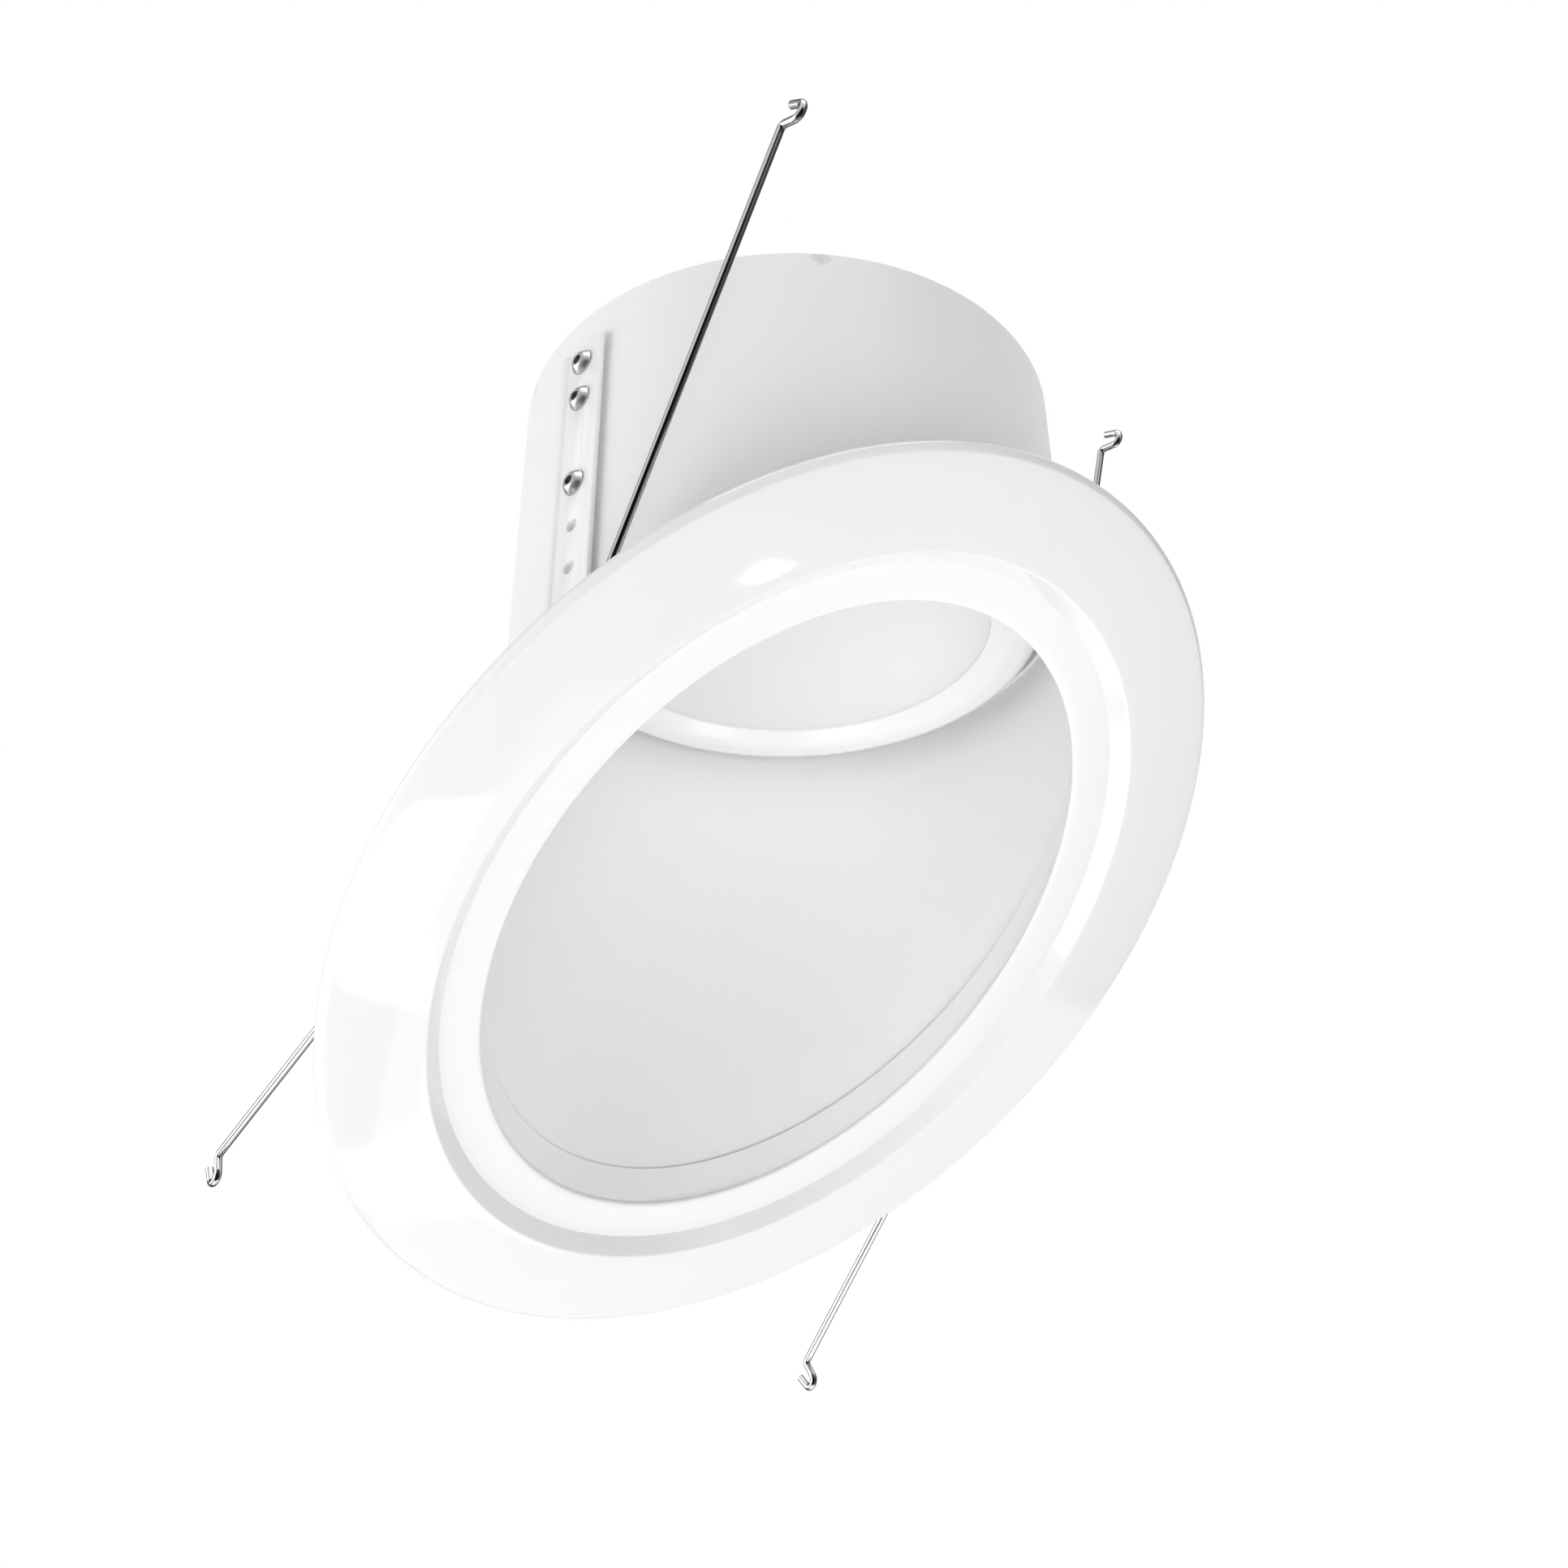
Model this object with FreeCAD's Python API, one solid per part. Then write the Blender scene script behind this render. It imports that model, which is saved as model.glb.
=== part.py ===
import FreeCAD, Part
import math
import os

# Recessed LED retrofit downlight for a sloped ceiling, in millimetres.
# +Z is up. The can's axis is vertical and the oval trim lies in the ceiling, which slopes
# down towards +Y. The origin is where the can's axis meets the ceiling plane.

Vector = FreeCAD.Vector
Rotation = FreeCAD.Rotation
Placement = FreeCAD.Placement

# Ceiling and can
ceiling_slope = 37.0
can_outer_radius = 68.0
can_wall = 0.8
insert_clearance = 0.1

# Oval trim, measured outwards from the edge of its opening
side_overlap = 1.2
end_overlap = 2.75
ring_face_width = 9.4
ring_face_rise = 0.95
ring_edge_radius = 0.8
step_run = 3.3
flange_width = 22.0
flange_inner_drop = 3.2
flange_rim_drop = 2.5
flange_crown = 0.25
flange_rim_radius = 1.3
flange_step_radius = 0.6
trim_allowance = 1.0

# Collar ring behind the trim
ring_plate_back = 2.4
ring_plate_lap = 7.0
collar_height = 8.2
collar_top_wall = 0.6

# Foam gasket on the back of the flange
gasket_start = 20.2
gasket_width = 4.6
gasket_thickness = 1.5

# Screws that hold the collar ring to the trim
trim_screw_lap = 2.4
trim_screw_radius = 1.5
trim_screw_head_radius = 2.9
trim_screw_head_height = 1.8
trim_screw_head_round = 0.6
trim_screw_bite = 1.9
trim_screw_angles = (40.0, 140.0, 220.0, 320.0)

# LED module: bezel, lens, board and chips
bezel_side_gap = 4.9
bezel_depth = 14.5
bezel_face_width = 12.8
bezel_round = 4.2
bezel_foot_inset = 4.0
bezel_foot_round = 6.0
bezel_wall = 2.6
lens_recess = 2.6
lens_seat = 2.0
lens_seat_clearance = 0.15
lens_thickness = 2.0
lens_sag = 0.7
lens_lip = 0.6
board_side_gap = 2.5
board_thickness = 1.6
chip_size = 2.8
chip_height = 0.7
chip_rings = ((0.26, 6), (0.53, 12), (0.81, 18))

# Mounting pan that carries the module in the can
pan_height = 89.5
pan_thickness = 1.2
pan_hole_step = 0.5
pan_skirt = 8.0
pan_screw_drop = 3.5

# Heat sink and driver above the pan
sink_side_gap = 10.2
sink_base = 4.0
sink_boss_clearance = 0.2
fin_end_gap = 1.0
fin_count = 24
fin_thickness = 1.8
fin_height = 17.0
fin_hub_radius = 15.0
driver_length_share = 0.61
driver_width_share = 0.342
driver_height = 20.0
driver_corner = 4.0
driver_headroom = 4.27

# Top cap and cord inlet
cap_thickness = 1.0
cap_skirt = 9.0
vent_count = 12
vent_edge_gap = 25.0
vent_length = 12.0
vent_width = 3.0
inlet_bore_radius = 4.0
inlet_body_radius = 6.5
inlet_flange_radius = 8.5
inlet_flange_height = 2.0
inlet_body_height = 5.0

# Straps on the can's two sides, a pressed strip with raised edges
strap_centre_y = -4.4
strap_width = 15.0
strap_web_width = 9.6
strap_ramp = 0.9
strap_thickness = 1.0
strap_lip_rise = 1.2
strap_top_drop = 10.57
strap_seat_gap = 0.05

# Strap screws and the row of spare holes
strap_end_margin = 5.1
strap_screw_pitch = 10.9
spare_hole_drop = 11.4
spare_hole_pitch = 11.2
spare_count = 4
strap_hole_radius = 1.7
screw_shank_radius = 1.5
screw_shank_length = 5.0
screw_head_radius = 3.1
screw_head_height = 1.9
screw_crown_radius = 0.9
socket_across_flats = 2.5
socket_depth = 1.1
hole_clearance = 0.1
pilot_clearance = 0.03

# Torsion springs on their posts
wire_radius = 0.9
coil_radius = 4.9
coil_pitch = 1.9
coil_turns = 1.0
coil_centre_height = 20.0
coil_side_clearance = 0.25
post_clearance = 0.1
post_shoulder_margin = 0.2
post_head_radius = 6.0
post_head_height = 1.2
post_head_round = 0.6
leg_length = 135.5
leg_straight = 4.0
leg_joggle = 22.0
leg_bend_radius = 4.0
hook_arm = 5.6
hook_width = 3.9
hook_return = 4.9
hook_bend_radius = 1.7
hook_foot_radius = 1.2
hook_skew = 0.57

# Rest angles of the legs, from +Z towards +Y, and the lean of each leg away from the can
left_upper_angle = -30.2
left_lower_angle = 114.4
left_upper_lean = -1.2
left_lower_lean = -0.7
right_upper_angle = -16.0
right_lower_angle = 131.9
right_upper_lean = 0.7
right_lower_lean = 6.3

# Values worked out from the sizes above
slope = math.radians(ceiling_slope)
can_inner_radius = can_outer_radius - can_wall
insert_radius = can_inner_radius - insert_clearance
bezel_outer_radius = can_inner_radius - bezel_side_gap
bezel_bottom = pan_height - bezel_depth
lens_radius = bezel_outer_radius - bezel_face_width
lens_edge_height = bezel_bottom + lens_recess
board_radius = lens_radius - board_side_gap
pan_hole_radius = lens_radius - pan_hole_step
sink_radius = can_inner_radius - sink_side_gap
sink_low = pan_height + pan_thickness
fin_low = sink_low + sink_base
driver_low = fin_low + fin_height
cap_low = driver_low + driver_height + driver_headroom
can_top = cap_low + cap_thickness
strap_top = can_top - strap_top_drop
first_screw_height = strap_top - strap_end_margin
pan_screw_height = pan_height - pan_screw_drop
strap_screw_heights = (first_screw_height, first_screw_height - strap_screw_pitch, pan_screw_height)
first_spare_height = pan_screw_height - spare_hole_drop
spare_hole_heights = tuple(first_spare_height - spare_hole_pitch * index for index in range(spare_count))
opening_half_width = can_inner_radius - side_overlap
opening_half_length = can_inner_radius / math.cos(slope) - end_overlap
step_end = ring_face_width + step_run
rim_offset = step_end + flange_width
trim_tilt = Placement(Vector(0, 0, 0), Rotation(Vector(1, 0, 0), -ceiling_slope))
strap_back = can_outer_radius + strap_seat_gap
strap_face = strap_back + strap_thickness
coil_inner_face = strap_face + screw_head_height + coil_side_clearance
upper_leg_start = coil_inner_face + wire_radius
lower_leg_start = upper_leg_start + (2 * coil_turns + 1) * coil_pitch
leg_plane = (upper_leg_start + lower_leg_start) / 2
coil_outer_face = lower_leg_start + wire_radius
post_radius = coil_radius - wire_radius - post_clearance
post_shoulder_radius = strap_web_width / 2 - post_shoulder_margin
reach = 400.0


def save(node, shape):
    shape.exportStep("parts/" + node + ".step")


def polygon_wire(points):
    return Part.makePolygon(points + [points[0]])


def turned(outline):
    # A solid of revolution about Z from (radius, height) points, or edges made already
    if isinstance(outline, list):
        points = [Vector(radius, 0, height) for radius, height in outline]
        outline = polygon_wire(points)
    return Part.Face(outline).revolve(Vector(0, 0, 0), Vector(0, 0, 1), 360)


def cylinder(radius, low, high, centre=(0.0, 0.0)):
    return Part.makeCylinder(radius, high - low, Vector(centre[0], centre[1], low))


def side_cylinder(radius, start, end, height):
    # A cylinder along X on the strap's centre line
    return Part.makeCylinder(radius, end - start, Vector(start, strap_centre_y, height), Vector(1, 0, 0))


def oval_wire(offset, height):
    # An ellipse round the trim's opening, in the trim's own frame
    half_length = opening_half_length + offset
    half_width = opening_half_width + offset
    centre = Vector(0, 0, height)
    ellipse = Part.Ellipse(Vector(0, half_length, height), Vector(half_width, 0, height), centre)
    return Part.Wire([ellipse.toShape()])


def oval_sweep(profile):
    # A closed (offset, height) profile swept round the opening
    spine = oval_wire(0, 0)
    return spine.makePipeShell([profile], True, True)


def profile_point(offset, height):
    return Vector(0, opening_half_length + offset, height)


def line(start, end):
    return Part.LineSegment(start, end).toShape()


def arc(start, middle, end):
    return Part.Arc(start, middle, end).toShape()


def rounded_corner(before, corner, after, radius):
    # Tangent points and mid point of the arc that rounds a corner
    towards_before = (before - corner).normalize()
    towards_after = (after - corner).normalize()
    half_angle = towards_before.getAngle(towards_after) / 2
    setback = radius / math.tan(half_angle)
    bisector = (towards_before + towards_after).normalize()
    centre = corner + bisector * (radius / math.sin(half_angle))
    return corner + towards_before * setback, centre - bisector * radius, corner + towards_after * setback


def rounded_path(points, radii, closed=False):
    # Straight runs joined by tangent arcs, one radius for each corner
    count = len(points)
    first = 0 if closed else 1
    last = count if closed else count - 1
    edges = []
    position = None if closed else points[0]
    start = None
    for index in range(first, last):
        radius = radii[index]
        corner = points[index]
        if radius > 0:
            after = points[(index + 1) % count]
            entry, middle, leave = rounded_corner(points[index - 1], corner, after, radius)
        else:
            entry = corner
            leave = corner
        if position is None:
            start = entry
        else:
            edges.append(line(position, entry))
        if radius > 0:
            edges.append(arc(entry, middle, leave))
        position = leave
    edges.append(line(position, start if closed else points[-1]))
    return Part.Wire(edges)


def slab(low, high):
    # Everything between two heights, in the trim's own frame
    return Part.makeBox(2 * reach, 2 * reach, high - low, Vector(-reach, -reach, low))


def tilted(shape):
    shape.Placement = trim_tilt
    return shape


def tilted_slab(low, high):
    return tilted(slab(low, high))


def trim_screw_centres():
    # Screw places in the trim's frame, on an oval between the step and the plate's edge
    places = []
    for angle in trim_screw_angles:
        turn = math.radians(angle)
        across = (opening_half_width + step_end + trim_screw_lap) * math.cos(turn)
        along = (opening_half_length + step_end + trim_screw_lap) * math.sin(turn)
        places.append(Vector(across, along, 0))
    return places


def make_oval_trim():
    # Cast flange: a bevelled step, a slightly crowned face and a rounded rim
    step_top = profile_point(ring_face_width, 0)
    step_foot = profile_point(step_end, -flange_inner_drop)
    crown_drop = (flange_inner_drop + flange_rim_drop) / 2 + flange_crown
    crown = profile_point(step_end + flange_width / 2, -crown_drop)
    rim_foot = profile_point(rim_offset, -flange_rim_drop)
    rim_back = profile_point(rim_offset, trim_allowance)
    step_back = profile_point(ring_face_width, trim_allowance)
    foot_in, foot_mid, foot_out = rounded_corner(step_top, step_foot, crown, flange_step_radius)
    rim_in, rim_mid, rim_out = rounded_corner(crown, rim_foot, rim_back, flange_rim_radius)
    edges = [
        line(step_back, step_top),
        line(step_top, foot_in),
        arc(foot_in, foot_mid, foot_out),
        arc(foot_out, crown, rim_in),
        arc(rim_in, rim_mid, rim_out),
        line(rim_out, rim_back),
        line(rim_back, step_back),
    ]
    # The back is cut flat on the ceiling plane
    trim = oval_sweep(Part.Wire(edges)).cut(slab(0, reach))
    for centre in trim_screw_centres():
        pilot_radius = trim_screw_radius + pilot_clearance
        pilot = Part.makeCylinder(pilot_radius, trim_screw_bite + hole_clearance, centre, Vector(0, 0, -1))
        trim = trim.cut(pilot)
    return tilted(trim)


def make_collar_ring():
    # Ring face with a rounded inner edge, a plate behind the trim and a collar inside the can
    face_outer = profile_point(ring_face_width, 0)
    plate_front = profile_point(step_end + ring_plate_lap, 0)
    plate_back = profile_point(step_end + ring_plate_lap, ring_plate_back + trim_allowance)
    inner_back = profile_point(0, ring_plate_back + trim_allowance)
    inner_edge = profile_point(0, ring_face_rise)
    edge_in, edge_mid, edge_out = rounded_corner(inner_back, inner_edge, face_outer, ring_edge_radius)
    edges = [
        line(inner_back, edge_in),
        arc(edge_in, edge_mid, edge_out),
        line(edge_out, face_outer),
        line(face_outer, plate_front),
        line(plate_front, plate_back),
        line(plate_back, inner_back),
    ]
    plate = oval_sweep(Part.Wire(edges)).cut(slab(ring_plate_back, reach))
    for centre in trim_screw_centres():
        plate = plate.cut(Part.makeCylinder(trim_screw_radius + hole_clearance, ring_plate_back, centre))
    plate = tilted(plate)

    collar_low = (ring_face_rise + ring_edge_radius + ring_plate_back) / 2
    sleeve = cylinder(insert_radius, -reach, reach).common(tilted_slab(collar_low, collar_height))
    top_radius = insert_radius - collar_top_wall
    axis_shift = -collar_height * math.tan(slope)
    top_centre = Vector(0, axis_shift, collar_height)
    top_ellipse = Part.Ellipse(
        top_centre + Vector(0, top_radius / math.cos(slope), 0),
        top_centre + Vector(top_radius, 0, 0),
        top_centre,
    )
    bore = Part.makeLoft([oval_wire(0, collar_low), Part.Wire([top_ellipse.toShape()])], True, True)
    return sleeve.cut(tilted(bore)).fuse(plate).removeSplitter()


def make_trim_screw(centre):
    head = Part.makeCylinder(trim_screw_head_radius, trim_screw_head_height, Vector(0, 0, ring_plate_back))
    head = head.makeFillet(trim_screw_head_round, [head.Edges[0]])
    shank = cylinder(trim_screw_radius, -trim_screw_bite, ring_plate_back)
    screw = head.fuse(shank).removeSplitter()
    screw.translate(centre)
    screw.rotate(Vector(0, 0, 0), Vector(1, 0, 0), -ceiling_slope)
    return screw


def make_gasket():
    low = profile_point(gasket_start, 0)
    outer = profile_point(gasket_start + gasket_width, 0)
    rise = Vector(0, 0, gasket_thickness)
    return tilted(oval_sweep(polygon_wire([low, outer, outer + rise, low + rise])))


def make_can_shell():
    # Rolled steel tube, cut to the slope at its foot and drilled for the left strap's row of
    # holes and the right strap's screws
    tube = cylinder(can_outer_radius, -reach, can_top)
    tube = tube.cut(cylinder(can_inner_radius, -reach - 1, can_top + 1))
    tube = tube.cut(tilted_slab(-reach, ring_plate_back))
    for height in strap_screw_heights:
        hole = screw_shank_radius + hole_clearance
        tube = tube.cut(side_cylinder(hole, -can_outer_radius - 1, can_outer_radius + 1, height))
    for height in spare_hole_heights:
        tube = tube.cut(side_cylinder(strap_hole_radius, -can_outer_radius - 1, 0, height))
    return tube


def make_top_cap():
    # Pressed cap with a skirt, a ring of vent slots and a hole for the cord inlet
    skirt_low = cap_low - cap_skirt
    cap = turned([
        (0, cap_low),
        (insert_radius - cap_thickness, cap_low),
        (insert_radius - cap_thickness, skirt_low),
        (insert_radius, skirt_low),
        (insert_radius, can_top),
        (0, can_top),
    ])
    cap = cap.cut(cylinder(inlet_body_radius + hole_clearance, cap_low - 1, can_top + 1))
    slot_run = vent_length - vent_width
    for index in range(vent_count):
        corner = Vector(-slot_run / 2, -vent_width / 2, 0)
        slot = Part.makeBox(slot_run, vent_width, cap_thickness + 2, corner)
        for end in (-slot_run / 2, slot_run / 2):
            slot = slot.fuse(cylinder(vent_width / 2, 0, cap_thickness + 2, (end, 0)))
        slot.translate(Vector(can_inner_radius - vent_edge_gap, 0, cap_low - 1))
        slot.rotate(Vector(0, 0, 0), Vector(0, 0, 1), 360 * index / vent_count)
        cap = cap.cut(slot)
    return cap


def make_cord_inlet():
    # Snap-in bushing: a flange on top of the cap and a body through it
    flange_low = can_top
    body_low = can_top - inlet_body_height
    return turned([
        (inlet_bore_radius, body_low),
        (inlet_body_radius, body_low),
        (inlet_body_radius, flange_low),
        (inlet_flange_radius, flange_low),
        (inlet_flange_radius, flange_low + inlet_flange_height),
        (inlet_bore_radius, flange_low + inlet_flange_height),
    ])


def make_mounting_pan():
    # Flat ring across the can with a skirt that the third strap screws hold
    pan = turned([
        (pan_hole_radius, pan_height),
        (insert_radius - pan_thickness, pan_height),
        (insert_radius - pan_thickness, pan_height - pan_skirt),
        (insert_radius, pan_height - pan_skirt),
        (insert_radius, sink_low),
        (pan_hole_radius, sink_low),
    ])
    hole = screw_shank_radius + hole_clearance
    return pan.cut(side_cylinder(hole, -can_outer_radius, can_outer_radius, pan_screw_height))


def make_bezel():
    # Rounded ring with a sloping inner face and a rebate for the lens
    inner_foot = Vector(lens_radius, 0, lens_edge_height)
    foot = Vector(bezel_outer_radius - bezel_round - bezel_foot_inset, 0, bezel_bottom)
    corner = Vector(bezel_outer_radius, 0, bezel_bottom)
    outer_top = Vector(bezel_outer_radius, 0, pan_height)
    wall_inner = bezel_outer_radius - bezel_wall
    seat_height = lens_edge_height + lens_lip
    seat_radius = lens_radius + lens_seat + lens_seat_clearance
    points = [
        inner_foot,
        foot,
        corner,
        outer_top,
        Vector(wall_inner, 0, pan_height),
        Vector(wall_inner, 0, seat_height + lens_thickness),
        Vector(seat_radius, 0, seat_height + lens_thickness),
        Vector(seat_radius, 0, seat_height),
        Vector(lens_radius, 0, seat_height),
    ]
    radii = [0.0, bezel_foot_round, bezel_round, 0.0, 0.0, 0.0, 0.0, 0.0, 0.0]
    return turned(rounded_path(points, radii, closed=True))


def make_lens():
    # Frosted disc, slightly domed towards the room, on the bezel's rebate
    low = lens_edge_height + lens_lip
    rim = lens_radius + lens_seat
    window = lens_radius - lens_seat_clearance
    dome_low = Vector(0, 0, low - lens_sag)
    dome_edge = Vector(window, 0, low)
    half = window / 2
    dome_mid = Vector(half, 0, low - lens_sag * (1 - (half / window) ** 2))
    top = low + lens_thickness
    edges = [
        arc(dome_low, dome_mid, dome_edge),
        line(dome_edge, Vector(rim, 0, low)),
        line(Vector(rim, 0, low), Vector(rim, 0, top)),
        line(Vector(rim, 0, top), Vector(0, 0, top)),
        line(Vector(0, 0, top), dome_low),
    ]
    return turned(Part.Wire(edges))


def make_board():
    return cylinder(board_radius, pan_height - board_thickness, pan_height)


def make_chips():
    # LED packages on three rings under the board, one in the middle
    top = pan_height - board_thickness
    corner = Vector(-chip_size / 2, -chip_size / 2, top - chip_height)
    chips = [Part.makeBox(chip_size, chip_size, chip_height, corner)]
    for share, count in chip_rings:
        for index in range(count):
            chip = Part.makeBox(chip_size, chip_size, chip_height, corner)
            chip.translate(Vector(board_radius * share, 0, 0))
            chip.rotate(Vector(0, 0, 0), Vector(0, 0, 1), 360 * index / count)
            chips.append(chip)
    return Part.makeCompound(chips)


def make_heat_sink():
    # Base on the pan, a boss through its hole down to the board, and radial fins
    boss = cylinder(pan_hole_radius - sink_boss_clearance, pan_height, sink_low)
    sink = boss.fuse(cylinder(sink_radius, sink_low, fin_low))
    sink = sink.fuse(cylinder(fin_hub_radius, fin_low, driver_low))
    fins = []
    for index in range(fin_count):
        length = sink_radius - fin_end_gap - fin_hub_radius / 2
        corner = Vector(fin_hub_radius / 2, -fin_thickness / 2, fin_low)
        fin = Part.makeBox(length, fin_thickness, fin_height, corner)
        fin.rotate(Vector(0, 0, 0), Vector(0, 0, 1), 360 * index / fin_count)
        fins.append(fin)
    return sink.multiFuse(fins).removeSplitter()


def make_driver():
    length = 2 * can_inner_radius * driver_length_share
    width = 2 * can_inner_radius * driver_width_share
    corner = Vector(-length / 2, -width / 2, driver_low)
    case = Part.makeBox(length, width, driver_height, corner)
    upright = [edge for edge in case.Edges if edge.BoundBox.ZLength > driver_height / 2]
    return case.makeFillet(driver_corner, upright)


def make_strap():
    # Right-hand strap: a flat web on the can between two raised lips, cut to the slope at its foot
    half_width = strap_width / 2
    half_web = strap_web_width / 2
    lip_back = strap_back + strap_lip_rise
    back = [
        (lip_back, -half_width),
        (lip_back, -half_web - strap_ramp),
        (strap_back, -half_web),
        (strap_back, half_web),
        (lip_back, half_web + strap_ramp),
        (lip_back, half_width),
    ]
    front = [(x + strap_thickness, y) for x, y in reversed(back)]
    points = [Vector(x, strap_centre_y + y, -reach) for x, y in back + front]
    strap = Part.Face(polygon_wire(points)).extrude(Vector(0, 0, strap_top + reach))
    strap = strap.cut(tilted_slab(-reach, ring_plate_back))
    for height in strap_screw_heights + spare_hole_heights:
        strap = strap.cut(side_cylinder(strap_hole_radius, strap_back - 1, strap_face + 1, height))
    post_hole = screw_shank_radius + hole_clearance
    return strap.cut(side_cylinder(post_hole, strap_back - 1, strap_face + 1, coil_centre_height))


def make_strap_screw(height):
    # Button head with a hexagon socket, on the strap's web
    head_start = strap_face
    head = side_cylinder(screw_head_radius, head_start, head_start + screw_head_height, height)
    crown = [edge for edge in head.Edges if edge.BoundBox.XMin > head_start + screw_head_height / 2]
    head = head.makeFillet(screw_crown_radius, crown)
    shank = side_cylinder(screw_shank_radius, head_start - screw_shank_length, head_start, height)
    socket_radius = socket_across_flats / math.sqrt(3)
    corners = []
    for index in range(6):
        turn = math.radians(60 * index)
        y = strap_centre_y + socket_radius * math.cos(turn)
        z = height + socket_radius * math.sin(turn)
        corners.append(Vector(head_start + screw_head_height, y, z))
    socket = Part.Face(polygon_wire(corners)).extrude(Vector(-socket_depth, 0, 0))
    return head.cut(socket).fuse(shank)


def make_spring_post():
    # Shouldered rivet through the strap, with a head that keeps the coil on
    coil_end = coil_outer_face + coil_side_clearance
    post = side_cylinder(screw_shank_radius, strap_back, strap_face, coil_centre_height)
    shoulder_end = coil_inner_face - coil_side_clearance
    post = post.fuse(side_cylinder(post_shoulder_radius, strap_face, shoulder_end, coil_centre_height))
    post = post.fuse(side_cylinder(post_radius, strap_face, coil_end, coil_centre_height))
    head = side_cylinder(post_head_radius, coil_end, coil_end + post_head_height, coil_centre_height)
    crown = [edge for edge in head.Edges if edge.BoundBox.XMin > coil_end + post_head_height / 2]
    return post.fuse(head.makeFillet(post_head_round, crown)).removeSplitter()


def coil_path(start_x, start_turn):
    # Close-wound turns about the post, right-handed about +X
    helix = Part.makeHelix(coil_pitch, coil_pitch * coil_turns, coil_radius)
    # Helix axis Z onto X and its start onto Y, then round to the start angle
    helix.rotate(Vector(0, 0, 0), Vector(1, 1, 1), 120)
    helix.rotate(Vector(0, 0, 0), Vector(1, 0, 0), start_turn)
    helix.translate(Vector(start_x, strap_centre_y, coil_centre_height))
    return helix


def leg_path(start, along, outward, leaving, lean):
    # From the hook's tip back to the coil: hook, straight leg and a joggle into the coil's end
    tilt = math.radians(lean)
    leaning = along * math.cos(tilt) + Vector(math.sin(tilt), 0, 0)
    middle = Vector(leg_plane, start.y, start.z)
    bend = middle + leaning * leg_length
    skew = leaning * hook_skew
    points = [
        bend + outward * (hook_arm - hook_return) + leaning * hook_width + skew,
        bend + outward * hook_arm + leaning * hook_width,
        bend + outward * hook_arm + skew,
        bend,
        middle + leaning * leg_joggle,
        start + leaving * leg_straight,
        start,
    ]
    hook_radii = [0.0, hook_bend_radius, hook_bend_radius, hook_foot_radius]
    return rounded_path(points, hook_radii + [leg_bend_radius, leg_bend_radius, 0.0])


def make_spring_half(angle, lean, upper):
    # Half of a right-hand torsion spring as one wire: its share of the coil and its hooked leg
    turn = math.radians(angle)
    apex_side = -1 if upper else 1
    along = Vector(0, math.sin(turn), math.cos(turn))
    outward = Vector(0, math.cos(turn), -math.sin(turn)) * apex_side
    leg_start = upper_leg_start if upper else lower_leg_start
    start = Vector(leg_start, strap_centre_y, coil_centre_height) + outward * coil_radius
    climb = math.atan2(coil_pitch, 2 * math.pi * coil_radius)
    leaving = along * math.cos(climb) + Vector(apex_side * math.sin(climb), 0, 0)
    leg = leg_path(start, along, outward, leaving, lean)
    outward_turn = math.degrees(math.atan2(outward.z, outward.y))
    if upper:
        coil = coil_path(leg_start, outward_turn)
    else:
        coil = coil_path(leg_start - coil_pitch * coil_turns, outward_turn - 360 * coil_turns)
    tip = leg.Edges[0].valueAt(leg.Edges[0].FirstParameter)
    tip_direction = leg.Edges[0].tangentAt(leg.Edges[0].FirstParameter)
    ring = Part.Wire([Part.Circle(tip, tip_direction, wire_radius).toShape()])
    return Part.Wire(leg.Edges + coil.Edges).makePipeShell([ring], True, False)


def on_side(shape, side):
    if side == "left":
        return shape.mirror(Vector(0, 0, 0), Vector(1, 0, 0))
    return shape


os.makedirs("parts", exist_ok=True)

save("oval_trim", make_oval_trim())
save("collar_ring", make_collar_ring())
save("foam_gasket", make_gasket())
for number, centre in enumerate(trim_screw_centres(), start=1):
    save("trim_screw_%d" % number, make_trim_screw(centre))

save("can_shell", make_can_shell())
save("top_cap", make_top_cap())
save("cord_inlet", make_cord_inlet())
save("mounting_pan", make_mounting_pan())
save("module_bezel", make_bezel())
save("module_lens", make_lens())
save("led_board", make_board())
save("led_chips", make_chips())
save("heat_sink", make_heat_sink())
save("driver_case", make_driver())

spring_settings = {
    "left": (left_upper_angle, left_upper_lean, left_lower_angle, left_lower_lean),
    "right": (right_upper_angle, right_upper_lean, right_lower_angle, right_lower_lean),
}
for side, (upper_angle, upper_lean, lower_angle, lower_lean) in spring_settings.items():
    save(side + "_strap", on_side(make_strap(), side))
    for number, height in enumerate(strap_screw_heights, start=1):
        save("%s_strap_screw_%d" % (side, number), on_side(make_strap_screw(height), side))
    save(side + "_spring_post", on_side(make_spring_post(), side))
    save(side + "_spring_upper", on_side(make_spring_half(upper_angle, upper_lean, True), side))
    save(side + "_spring_lower", on_side(make_spring_half(lower_angle, lower_lean, False), side))
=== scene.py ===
import math

import bmesh
import bpy
from mathutils import Matrix, Vector


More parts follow.
